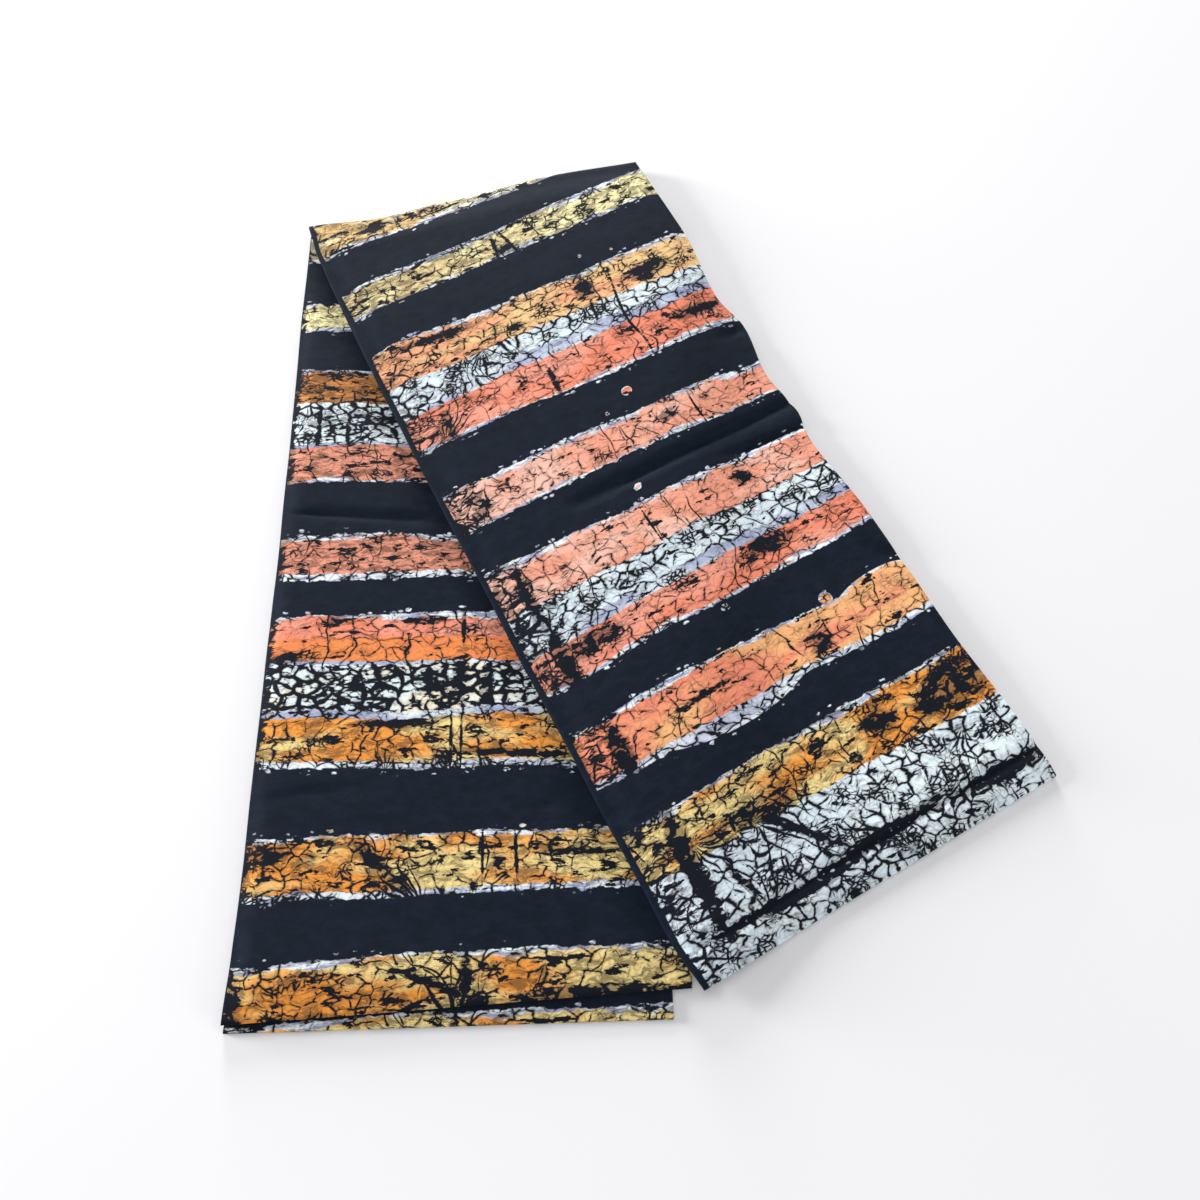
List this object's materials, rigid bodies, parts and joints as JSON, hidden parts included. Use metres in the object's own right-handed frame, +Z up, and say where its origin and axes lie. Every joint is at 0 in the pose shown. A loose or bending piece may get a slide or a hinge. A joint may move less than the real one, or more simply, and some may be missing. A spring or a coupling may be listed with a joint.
{
  "type": "folded adire cloth",
  "caption": "Long wax-resist dyed cotton cloth, folded back and forth into a flat band and laid down in a V with one oblique fold.",
  "frame": {"origin": "middle of the underside, on the surface that the cloth lies on", "axes": "+Z up from the surface, +Y from the free ends of the legs towards the oblique fold"},
  "size_m": [0.5883, 0.7196, 0.0154],
  "materials": {
    "dyed_cotton": "matt dyed cotton"
  },
  "bodies": {
    "root": {"cloth": "dyed_cotton"}
  },
  "joints": []
}
